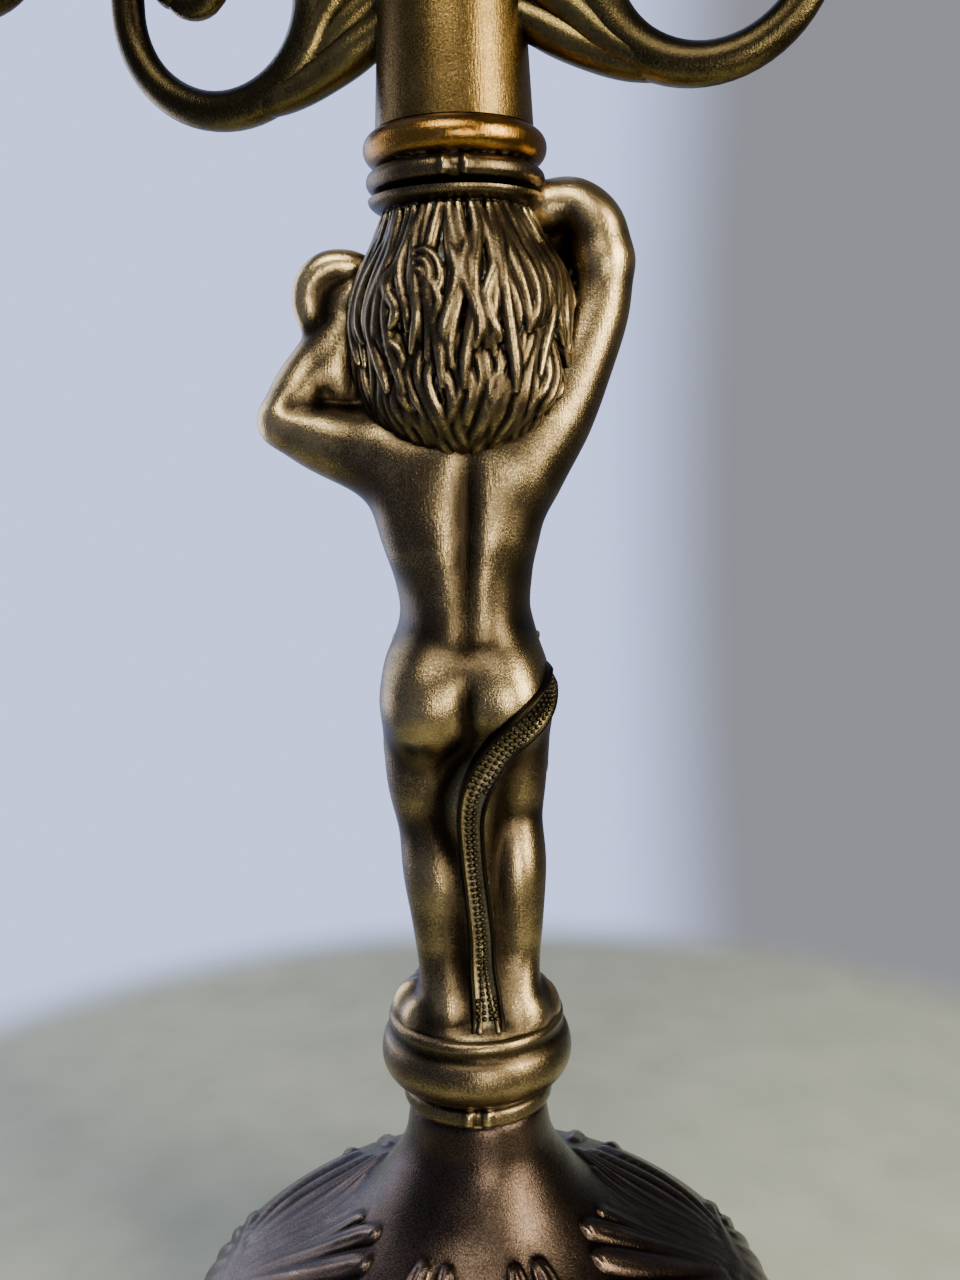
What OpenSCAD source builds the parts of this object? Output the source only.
// Three-light tabletop candelabra: a cast dome base, a standing figure that
// carries the column on its head, two serpentine arms and three candle cups.
// Millimetres, +Z up, origin on the table under the middle of the base.
// The figure faces -Y.

/* [Base] */
// Largest radius of the base, over its rim moulding
base_r = 58; // [50:1:75]
// Height of the base casting, from the felt to the plinth
base_h = 54.5; // [45:0.5:70]
// Radius of the base's neck where the plinth sits
neck_r = 12; // [11:0.1:14]
// Wall of the hollow base casting
base_wall = 2.4; // [1.8:0.1:3.5]
// Thickness of the metal that closes the top of the neck
neck_web = 6; // [4:0.5:10]
// Number of small bosses round the rim
boss_count = 12; // [6:1:16]
// Radius of each rim boss
boss_r = 3.2; // [2:0.1:5]
// Turn of the boss ring about the vertical axis, in degrees
boss_turn = 7; // [0:1:30]
// Thickness of the felt ring under the base
felt_t = 1.5; // [1:0.1:3]
// Width of the felt ring
felt_w = 12; // [8:1:20]

/* [Plinth and figure] */
// Height of the plinth, up to the ground the figure stands on
plinth_h = 17; // [14:0.5:24]
// Largest radius of the plinth
plinth_r = 16.7; // [15.5:0.1:20]
// Height of the figure, from its soles to the underside of the capital
figure_h = 134; // [110:1:160]
// Width of the locating notch in the plinth's and the capital's rings
notch_w = 1.7; // [1:0.1:3]

/* [Capital and column] */
// Height of the capital on the figure's head
capital_h = 5.4; // [5:0.1:9]
// Radius of the capital's bead
capital_r = 13.9; // [13:0.1:17]
// Outside radius of the gilt ring under the column
ring_r = 14.4; // [13.8:0.1:18]
// Height of the gilt ring
ring_h = 5.6; // [4:0.1:8]
// Height of the tapered column
column_h = 48; // [44:1:60]
// Outside radius at the column's foot
column_r = 12.4; // [11.5:0.1:13.4]
// Outside radius at the column's top
column_top_r = 9.8; // [9:0.1:11]
// Wall of the hollow column
column_wall = 2.2; // [1.6:0.1:2.8]
// Thickness of the floor and of the roof of the column
column_web = 4; // [3:0.5:6]
// Height of the turned collar on top of the column
collar_h = 7; // [6:0.5:10]
// Height of the baluster that carries the middle cup
stem_h = 30; // [26:1:50]

/* [Arms] */
// Turn of the column and its arms from the figure's own left and right, in degrees
arm_turn = -15; // [-30:1:30]
// Distance from the column's axis to the middle of the outer cups
arm_reach = 97; // [90:1:115]
// Height of the outer cups' seats above the column's foot
arm_rise = 60; // [58:1:75]
// Radius of the big scroll, measured at the middle of the bar
scroll_r = 16.8; // [14:0.2:18]
// Thickness of the arm's bar at the bottom of the big scroll
arm_bar_d = 5.6; // [4.6:0.1:7]
// Radius of the turned seat on each arm's tip
seat_r = 6.5; // [6:0.1:8]
// Height of the turned seat on each arm's tip
seat_h = 6; // [5:0.5:9]

/* [Cups and pans] */
// Diameter of the candle
candle_d = 22; // [18:0.5:24]
// Depth of the candle socket
socket_depth = 20; // [15:1:28]
// Wall of the cup beside the candle
cup_wall = 1.6; // [1.2:0.1:2.5]
// How far the cup's lip stands out past its wall
cup_lip = 2.6; // [1:0.1:4]
// Height of the cup's foot under the socket
cup_foot_h = 8; // [7:0.5:12]
// Radius of each drip pan
pan_r = 23; // [20:0.5:28]
// Thickness of the pan's metal
pan_t = 1.4; // [1:0.1:2]
// How far the pan's rim rises above its floor
pan_rise = 3.4; // [2:0.1:3.9]
// Number of scallops round each pan
scallop_count = 12; // [8:1:20]

/* [Fasteners] */
// Diameter of the two threaded rods that hold the stack together
rod_d = 6; // [5:0.5:7]
// Diameter of the arm studs and of the cup screws
stud_d = 4; // [3:0.5:4.5]
// Radial clearance between a fastener and the hole it passes
hole_gap = 0.08; // [0.03:0.01:0.1]
// Clearance between the candle and its socket, on the radius
candle_gap = 0.25; // [0.1:0.05:0.5]

/* [Hidden] */
SIDES = ["left", "right"];
$fn = 96;

// Colours of the finishes
BRONZE = "#6b5a35";
DARK_BRONZE = "#4a3c28";
GILT = "#b5832f";
STEEL = "#8d9096";
FELT = "#2d3a2c";

// Levels, from the table up
z_base = felt_t;
z_plinth = z_base + base_h;
z_ground = z_plinth + plinth_h;
z_capital = z_ground + figure_h;
z_ring = z_capital + capital_h;
z_column = z_ring + ring_h;
z_collar = z_column + column_h;
z_stem = z_collar + collar_h;
z_centre_seat = z_stem + stem_h;
z_arm_seat = z_column + arm_rise;

// Fasteners
rod_r = rod_d / 2;
rod_hole_r = rod_r + hole_gap;
stud_r = stud_d / 2;
stud_hole_r = stud_r + hole_gap;
nut_h = 0.8 * rod_d;
nut_r = 0.95 * rod_d;
washer_t = 1.2;
washer_r = rod_d * 1.2;
rod_grip = 12;
stud_nut_h = 2.4;
stud_nut_r = 0.95 * stud_d;
screw_head_r = 0.95 * stud_d;
screw_head_h = 2;
screw_bite = seat_h - 0.5;
socket_r = candle_d / 2 + candle_gap;
cup_h = cup_foot_h + socket_depth;

// The figure is drawn 134 high and scaled to figure_h
FIGURE_DRAWN_H = 134;
figure_k = figure_h / FIGURE_DRAWN_H;

// ---------------------------------------------------------------- curves

// A smooth curve through the points p, with n steps between neighbours
function spline(p, n = 5) = [
    for (i = [0 : len(p) - 2], j = [0 : n - (i == len(p) - 2 ? 0 : 1)])
        let (
            a = p[max(i - 1, 0)], b = p[i], c = p[i + 1],
            d = p[min(i + 2, len(p) - 1)], t = j / n
        )
        0.5 * (2 * b + (c - a) * t + (2 * a - 5 * b + 4 * c - d) * t * t
            + (3 * b - a - 3 * c + d) * t * t * t)
];

// The same curve moved sideways by t, to the left of the way it runs
function beside(p, t) = [
    for (i = [0 : len(p) - 1])
        let (
            run = p[min(i + 1, len(p) - 1)] - p[max(i - 1, 0)],
            size = norm(run)
        )
        p[i] + t * [-run[1], run[0]] / size
];

function reversed(p) = [for (i = [len(p) - 1 : -1 : 0]) p[i]];

function arc(c, r, a0, a1, n) = [
    for (i = [0 : n]) let (a = a0 + (a1 - a0) * i / n) c + r * [cos(a), sin(a)]
];

// ------------------------------------------------------------------ base

// The dome's outside, from the rim inwards and up to the neck
dome_outline = spline([
    [base_r - 2.5, 7.5],
    [base_r - 5, 13.5],
    [base_r - 9, 18],
    [base_r - 17, 23.5],
    [neck_r + 16, 30.2],
    [neck_r + 8.2, 36.2],
    [neck_r + 3.6, 42.3],
    [neck_r + 1.1, base_h - 7.2],
    [neck_r, base_h]
]);
dome_inside = [for (q = beside(dome_outline, base_wall)) if (q[1] < base_h - neck_web) q];

module base_felt() {
    color(FELT)
    difference() {
        cylinder(h = felt_t, r = base_r - 3);
        translate([0, 0, -1]) cylinder(h = felt_t + 2, r = base_r - 3 - felt_w);
    }
}

module base_rim_outline() {
    polygon(concat(
        [[base_r - 3 - felt_w, 0], [base_r - 2, 0], [base_r, 1.6]],
        arc([base_r - 2.4, 4], 2.4, 0, 80, 8),
        dome_outline,
        [[rod_hole_r, base_h], [rod_hole_r, base_h - neck_web], [neck_r + 1 - base_wall, base_h - neck_web]],
        reversed(dome_inside),
        [[base_r - 3 - felt_w, 3]]
    ));
}

module base_dome() {
    color(DARK_BRONZE)
    translate([0, 0, z_base]) {
        rotate_extrude() base_rim_outline();
        for (i = [0 : boss_count - 1])
            rotate([0, 0, boss_turn + i * 360 / boss_count])
                translate([base_r - 4.2, 0, 6.5]) sphere(r = boss_r);
    }
}

module lower_washer() {
    color(STEEL)
    translate([0, 0, z_plinth - neck_web - washer_t])
    difference() {
        cylinder(h = washer_t, r = washer_r);
        translate([0, 0, -1]) cylinder(h = washer_t + 2, r = rod_hole_r);
    }
}

module lower_nut() {
    color(STEEL)
    translate([0, 0, z_plinth - neck_web - washer_t - nut_h])
    difference() {
        cylinder(h = nut_h, r = nut_r, $fn = 6);
        translate([0, 0, -1]) cylinder(h = nut_h + 2, r = rod_hole_r);
    }
}

// The lower rod ends 2 mm under its nut
lower_rod_foot = z_plinth - neck_web - washer_t - nut_h - 2;

module lower_rod() {
    color(STEEL)
    translate([0, 0, lower_rod_foot])
        cylinder(h = z_plinth + rod_grip - lower_rod_foot, r = rod_r);
}

// ---------------------------------------------------------------- plinth

// Lower ring, groove, ovolo, and the rim round the ground
plinth_outline = concat(
    [[rod_hole_r, 0], [neck_r, 0]],
    arc([neck_r, 0.8], 0.8, -40, 60, 4),
    [[neck_r + 0.9, 3.2], [neck_r + 0.8, 3.9]],
    spline([
        [neck_r + 1.6, 4.3],
        [plinth_r - 1.2, 6.3],
        [plinth_r - 0.1, 8.4],
        [plinth_r - 0.1, 10.6],
        [plinth_r - 1.4, plinth_h - 3.2],
        [plinth_r - 2, plinth_h - 0.8]
    ]),
    [[plinth_r - 2.7, plinth_h - 0.2], [plinth_r - 3.4, plinth_h - 0.8], [rod_hole_r, plinth_h - 0.8]]
);

ROCK_ANGLES = [15, 48, 132, 165, 270];
rock_r = 2;
rock_gap = 0.1;

// Rocks round the ground, clear of the feet; gap widens them where the figure is cut clear
module rocks(gap = 0) {
    for (a = ROCK_ANGLES)
        rotate([0, 0, a]) translate([plinth_r - 5.1, 0, plinth_h - 0.4]) sphere(r = rock_r + gap);
}

// A notch in a ring of radius r, at the figure's back
module notch(r, z0, z1) {
    translate([-notch_w / 2, r - 0.9, z0]) cube([notch_w, 4, z1 - z0]);
}

module plinth() {
    color(BRONZE)
    translate([0, 0, z_plinth]) {
        difference() {
            rotate_extrude() polygon(plinth_outline);
            notch(neck_r + 0.9, 1.8, 3.9);
        }
        // The ground closes the top of the rod's hole
        translate([0, 0, rod_grip + 1])
            cylinder(h = plinth_h - rod_grip - 1, r = plinth_r - 3.6);
        rocks();
    }
}

// ---------------------------------------------------------------- figure

// A limb through balls [x, y, z, r]
module limb(balls, fn = 18) {
    for (i = [0 : len(balls) - 2])
        hull()
            for (b = [balls[i], balls[i + 1]])
                translate([b[0], b[1], b[2]]) sphere(r = b[3], $fn = fn);
}

module figure_legs() {
    limb([[6.6, 1, 50, 8], [6.6, 0.4, 38, 7], [6.3, 0.6, 30, 5.6], [6, 2.2, 23, 5.3],
        [4.8, 3.2, 9, 4.2], [4.4, 4.8, 3.6, 3.6]]);
    limb([[-6.2, 1, 50, 7.8], [-6, 0.4, 38, 6.4], [-6.6, 0.6, 30, 4.9], [-7.6, 2.2, 23, 4.6],
        [-7, 3.2, 9, 3.8], [-6.8, 4.8, 3.4, 3.4]]);
    limb([[4.4, 4.8, 3.2, 3.2], [6.6, -3.5, 2.6, 2.6], [7.6, -8, 2.2, 2.2]]);
    limb([[-6.8, 4.8, 3.2, 3.2], [-8.2, -3.5, 2.6, 2.6], [-8.6, -8, 2.2, 2.2]]);
}

module figure_torso() {
    // Buttocks and hips
    limb([[5.4, 4, 56, 9], [5, 2.2, 64, 8]]);
    limb([[-5, 4, 56, 8.8], [-4.8, 2.2, 64, 8]]);
    // Belly, waist and chest
    hull() {
        translate([0, -3.5, 66]) sphere(r = 10.4, $fn = 24);
        translate([0, 0.5, 74]) sphere(r = 10.8, $fn = 24);
    }
    hull() {
        translate([0, 0.5, 74]) sphere(r = 10.8, $fn = 24);
        translate([6.2, 0.5, 90]) sphere(r = 9, $fn = 24);
        translate([-6, 0.5, 91]) sphere(r = 9, $fn = 24);
    }
}

module figure_arms() {
    limb([[9, 0.5, 93, 8], [20, 1, 97.5, 6.2], [28.2, 1.2, 101, 4.6]]);
    limb([[28.2, 1.2, 101, 4.6], [23.4, -1, 109, 4.4], [19.6, -2, 114.5, 3.6], [20.6, -2.6, 120, 4.2],
        [18.4, -3, 123.4, 3.6]]);
    limb([[-9, 0.5, 95, 8], [-17.4, 1, 106, 6.4], [-22.4, 0.8, 119, 5.4], [-22.6, 0, 126, 5]]);
    limb([[-22.6, 0, 126, 5], [-19.8, -1, 131.6, 4.6], [-17, -1, 134.2, 4]]);
}

module figure_head() {
    hull() {
        translate([-0.4, 0.5, 115.5]) sphere(r = 17.6, $fn = 32);
        translate([-0.2, 3.5, 106]) sphere(r = 10.4, $fn = 24);
        translate([-0.2, -6, 108]) sphere(r = 9.6, $fn = 24);
    }
    translate([-0.2, 1, 128]) cylinder(h = 6, r1 = 14, r2 = 11.5, $fn = 32);
}

module figure_drape() {
    // The cloth across the loins, and its tail down the back to the ground
    limb([[12.4, -2.5, 60, 3.6], [6, -10, 55, 5.2], [-5, -9.6, 55, 5.2], [-12, -2.5, 62, 3]]);
    limb([[6, -8.6, 53, 5], [2, -7.4, 41, 4.4], [0, -5, 30, 3]]);
    limb([[-12.4, -1, 62, 2.2], [-11.2, 5, 58, 3], [-5.6, 10.4, 50, 2.6], [-2, 7, 42, 2.8],
        [-1.2, 4, 30, 3], [-1.6, 4.6, 14, 3.2], [-2, 8, 2.6, 2.6]], 14);
}

module figure() {
    color(BRONZE)
    translate([0, 0, z_ground])
    difference() {
        scale(figure_k)
        intersection() {
            union() {
                figure_legs();
                figure_torso();
                figure_arms();
                figure_head();
                figure_drape();
            }
            // Soles on the ground, and a flat crown under the capital
            difference() {
                translate([-50, -50, 0]) cube([100, 100, FIGURE_DRAWN_H + 20]);
                translate([0, 0, FIGURE_DRAWN_H]) cylinder(h = 30, r = capital_r + 0.2, $fn = 48);
            }
        }
        // Clear of the rocks on the ground
        translate([0, 0, -plinth_h]) rocks(rock_gap);
        // Socket for the upper rod
        translate([0, 0, figure_h - rod_grip]) cylinder(h = rod_grip + 1, r = rod_r + 0.3, $fn = 24);
    }
}

// --------------------------------------------------------------- capital

module capital() {
    bead_r = 2.2;
    color(BRONZE)
    translate([0, 0, z_capital])
    difference() {
        rotate_extrude() polygon(concat(
            [[rod_hole_r, 0], [capital_r - 3, 0], [capital_r - 2.8, 1], [capital_r - 1.6, 1.7]],
            arc([capital_r - bead_r, capital_h - bead_r - 0.3], bead_r, -70, 75, 10),
            [[capital_r - 2.4, capital_h], [rod_hole_r, capital_h]]
        ));
        notch(capital_r, capital_h - 3.2, capital_h + 1);
    }
}

upper_rod_top = z_stem + rod_grip;

module upper_rod() {
    color(STEEL)
    translate([0, 0, z_capital - rod_grip + 1])
        cylinder(h = upper_rod_top - z_capital + rod_grip - 1, r = rod_r);
}

// ------------------------------------------- column, collar and baluster

// Outside radius of the column at height h above its foot
function column_at(h) = column_r + (column_top_r - column_r) * h / column_h;

module turned() {
    rotate([0, 0, arm_turn]) children();
}

module column_ring() {
    bulge_r = ring_h / 2;
    color(GILT)
    translate([0, 0, z_ring])
    rotate_extrude() polygon(concat(
        [[rod_hole_r + 5, 0], [ring_r - bulge_r, 0]],
        arc([ring_r - bulge_r, bulge_r], bulge_r, -85, 85, 14),
        [[ring_r - bulge_r, ring_h], [rod_hole_r + 5, ring_h]]
    ));
}

// Height of the arm studs above the column's foot
stud_h = 26;

module column() {
    color(BRONZE)
    turned()
    translate([0, 0, z_column])
    difference() {
        rotate_extrude() polygon([
            [rod_hole_r, 0], [column_r, 0], [column_top_r, column_h], [rod_hole_r, column_h],
            [rod_hole_r, column_h - column_web],
            [column_at(column_h - column_web) - column_wall, column_h - column_web],
            [column_at(column_web) - column_wall, column_web],
            [rod_hole_r, column_web]
        ]);
        for (side = [0, 180])
            rotate([0, 0, side]) translate([0, 0, stud_h]) rotate([0, 90, 0])
                cylinder(h = column_r + 5, r = stud_hole_r);
    }
}

module column_collar() {
    color(BRONZE)
    translate([0, 0, z_collar])
    rotate_extrude() polygon(concat(
        [[rod_hole_r, 0], [column_top_r - 0.2, 0]],
        arc([column_top_r, 1.6], 1.6, -90, 90, 8),
        spline([
            [column_top_r - 0.8, 3.4],
            [column_top_r - 0.4, collar_h - 2.4],
            [column_top_r + 1.6, collar_h - 1.2],
            [column_top_r + 1.2, collar_h - 0.3],
            [column_top_r, collar_h]
        ]),
        [[rod_hole_r, collar_h]]
    ));
}

module centre_stem() {
    color(BRONZE)
    translate([0, 0, z_stem])
    rotate_extrude() polygon(concat(
        [[0, rod_grip + 1], [rod_hole_r, rod_grip + 1], [rod_hole_r, 0], [8.4, 0]],
        spline([
            [8.6, 1.2],
            [6.2, 3.2],
            [8.2, 7],
            [9.4, 0.4 * stem_h],
            [7.4, 0.6 * stem_h],
            [5.4, stem_h - 7.5],
            [5, stem_h - 5],
            [seat_r - 0.2, stem_h - 3.4]
        ]),
        [[seat_r, stem_h - 3], [seat_r, stem_h], [stud_hole_r, stem_h],
            [stud_hole_r, stem_h - screw_bite], [0, stem_h - screw_bite]]
    ));
}

// ------------------------------------------------------------------ arms

// The arm in its own plane: x out from the column's axis, y up from its foot.
// Big scroll, then a hump, then a dip that rises to the cup.
scroll_c = [column_r + 9.2 + scroll_r, scroll_r + 6.4];
dip_r = 13;
dip_c = [arm_reach - dip_r, scroll_c[1] + 17];
hump_c = [(scroll_c[0] + scroll_r + dip_c[0] - dip_r) / 2, dip_c[1]];
hump_r = (dip_c[0] - dip_r - scroll_c[0] - scroll_r) / 2;
tip_h = arm_rise - seat_h;

// The arm's bar leans on the column above its stud and comes down into the scroll
arm_line = concat(
    [[column_r + 1.2, stud_h + 11], [column_r + 5, stud_h + 7]],
    arc(scroll_c, scroll_r, 168, 360, 20),
    arc(hump_c, hump_r, 180, 0, 10),
    arc(dip_c, dip_r, 180, 360, 14),
    [[arm_reach, (dip_c[1] + tip_h) / 2], [arm_reach, tip_h]]
);
bar_r = arm_bar_d / 2;
// Radius of the bar along the line: stout at the root, slim at the tip
function bar_at(i) = lookup(i / (len(arm_line) - 1), [
    [0, bar_r + 0.4], [0.05, bar_r + 1.4], [0.2, bar_r + 0.4], [0.3, bar_r], [0.85, bar_r - 0.2], [1, bar_r + 0.2]
]);

// The curl inside the big scroll, which springs from its outer side
curl_a = 38;
curl_r = [7.5, 4];
curl_c1 = scroll_c + (scroll_r - curl_r[0]) * [cos(curl_a), sin(curl_a)];
curl_c2 = curl_c1 + (curl_r[0] - curl_r[1]) * [cos(curl_a + 180), sin(curl_a + 180)];
curl_line = concat(
    arc(scroll_c, scroll_r, 0, curl_a, 3),
    arc(curl_c1, curl_r[0], curl_a + 15, curl_a + 180, 9),
    arc(curl_c2, curl_r[1], curl_a + 205, curl_a + 310, 4)
);
function curl_at(i) = bar_r - 0.2 - 0.6 * i / (len(curl_line) - 1);

// A bar of round section along a line of [x, height], with radii from r_of
module bar(line, radii) {
    for (i = [0 : len(line) - 2])
        hull()
            for (j = [i, i + 1])
                translate([line[j][0], 0, line[j][1]]) sphere(r = radii[j], $fn = 12);
}

module arm() {
    color(BRONZE)
    translate([0, 0, z_column])
    difference() {
        union() {
            bar(arm_line, [for (i = [0 : len(arm_line) - 1]) bar_at(i)]);
            bar(curl_line, [for (i = [0 : len(curl_line) - 1]) curl_at(i)]);
            translate([curl_line[len(curl_line) - 1][0], 0, curl_line[len(curl_line) - 1][1]])
                sphere(r = 3.3, $fn = 14);
            // Leaf under the bar, and the web that the stud holds
            bar(
                [[column_r, 15.5], [column_r + 6, 12.4], [column_r + 11.6, 9.2], [column_r + 18, 7]],
                [3.6, 4, 3.6, 2.8]
            );
            hull()
                for (q = [[0, 17, 3.6], [-1, 35, 3.8], [8.6, 28, 3], [7.6, 18, 3.4]])
                    translate([column_r + q[0], 0, q[1]]) sphere(r = q[2], $fn = 16);
        }
        // Seat on the column
        cylinder(h = column_h, r1 = column_r / cos(180 / 64), r2 = column_top_r / cos(180 / 64), $fn = 64);
        // Hole for the stud
        translate([0, 0, stud_h]) rotate([0, 90, 0])
            cylinder(h = column_r + 6, r = stud_r + 0.2, $fn = 20);
        // Flat tip under the turned seat
        translate([arm_reach - 10, -10, tip_h]) cube([20, 20, 20]);
    }
}

module on_side(side) {
    turned() rotate([0, 0, side == "left" ? 0 : 180]) children();
}

module arm_seat() {
    color(BRONZE)
    translate([arm_reach, 0, z_arm_seat - seat_h])
    rotate_extrude() polygon([
        [stud_hole_r, 0], [bar_r, 0], [bar_r + 0.6, 1.2], [bar_r, 2.2], [seat_r - 0.8, seat_h - 2],
        [seat_r, seat_h - 1.4], [seat_r, seat_h], [stud_hole_r, seat_h]
    ]);
}

// The nut's outer face bears on the column's inner wall at its corners
stud_nut_x = sqrt(pow(column_at(stud_h + stud_nut_r) - column_wall, 2) - pow(stud_nut_r, 2))
    - stud_nut_h - 0.2;

module arm_stud() {
    color(STEEL)
    translate([stud_nut_x - 0.4, 0, z_column + stud_h]) rotate([0, 90, 0])
        cylinder(h = column_r + 5 - stud_nut_x, r = stud_r);
}

module arm_nut() {
    color(STEEL)
    translate([stud_nut_x, 0, z_column + stud_h]) rotate([0, 90, 0])
    difference() {
        cylinder(h = stud_nut_h, r = stud_nut_r, $fn = 6);
        translate([0, 0, -1]) cylinder(h = stud_nut_h + 2, r = stud_hole_r);
    }
}

// --------------------------------------------------------- pans and cups

pan_floor_r = 9;

module pan() {
    color(BRONZE)
    difference() {
        rotate_extrude() polygon(concat(
            [[stud_hole_r, 0]],
            spline([[pan_floor_r, 0], [pan_floor_r + 6, 0.4], [pan_r - 3, 0.5 * pan_rise], [pan_r, pan_rise]], 4),
            [[pan_r, pan_rise + pan_t]],
            spline([[pan_r - 3.4, 0.5 * pan_rise + pan_t], [pan_floor_r + 6, 0.4 + pan_t],
                [pan_floor_r, pan_t]], 4),
            [[stud_hole_r, pan_t]]
        ));
        for (i = [0 : scallop_count - 1])
            rotate([0, 0, (i + 0.5) * 360 / scallop_count])
                translate([pan_r + 1.4, 0, -1]) cylinder(h = pan_rise + pan_t + 2, r = 2.4);
    }
}

// The cup stands on the pan's floor: foot, urn, lip, and the blind candle socket
cup_outer_r = socket_r + cup_wall;

module cup() {
    color(BRONZE)
    translate([0, 0, pan_t])
    rotate_extrude() polygon(concat(
        [[stud_hole_r, 0], [pan_floor_r - 1.6, 0]],
        spline([
            [pan_floor_r - 1.4, 0.8],
            [5.6, 2.4],
            [7.6, 4.4],
            [cup_outer_r - 0.6, cup_foot_h],
            [cup_outer_r + 0.4, cup_foot_h + 0.3 * socket_depth],
            [cup_outer_r, cup_foot_h + 0.65 * socket_depth],
            [cup_outer_r + cup_lip - 0.4, cup_h - 2]
        ]),
        [[cup_outer_r + cup_lip, cup_h - 1], [cup_outer_r + cup_lip - 0.5, cup_h],
            [socket_r, cup_h], [socket_r, cup_foot_h],
            [screw_head_r + 0.2, cup_foot_h], [screw_head_r + 0.2, cup_foot_h - screw_head_h - 0.4],
            [stud_hole_r, cup_foot_h - screw_head_h - 0.4]]
    ));
}

screw_under_head = pan_t + cup_foot_h - screw_head_h - 0.4;

module cup_screw() {
    color(STEEL) {
        translate([0, 0, 1 - screw_bite]) cylinder(h = screw_bite - 1 + screw_under_head, r = stud_r);
        translate([0, 0, screw_under_head])
        difference() {
            cylinder(h = screw_head_h, r = screw_head_r);
            translate([-screw_head_r, -0.4, screw_head_h - 0.8]) cube([2 * screw_head_r, 0.8, 1]);
        }
    }
}

module at_seat(side) {
    if (side == "centre") turned() translate([0, 0, z_centre_seat]) children();
    else on_side(side) translate([arm_reach, 0, z_arm_seat]) children();
}

// ----------------------------------------------------------------- parts

base_felt();
base_dome();
lower_nut();
lower_washer();
lower_rod();
plinth();
figure();
capital();
upper_rod();
column_ring();
column();
column_collar();
centre_stem();
for (side = SIDES) {
    on_side(side) arm();
    on_side(side) arm_seat();
    on_side(side) arm_stud();
    on_side(side) arm_nut();
}
for (side = concat(SIDES, ["centre"])) {
    at_seat(side) pan();
    at_seat(side) cup();
    at_seat(side) cup_screw();
}
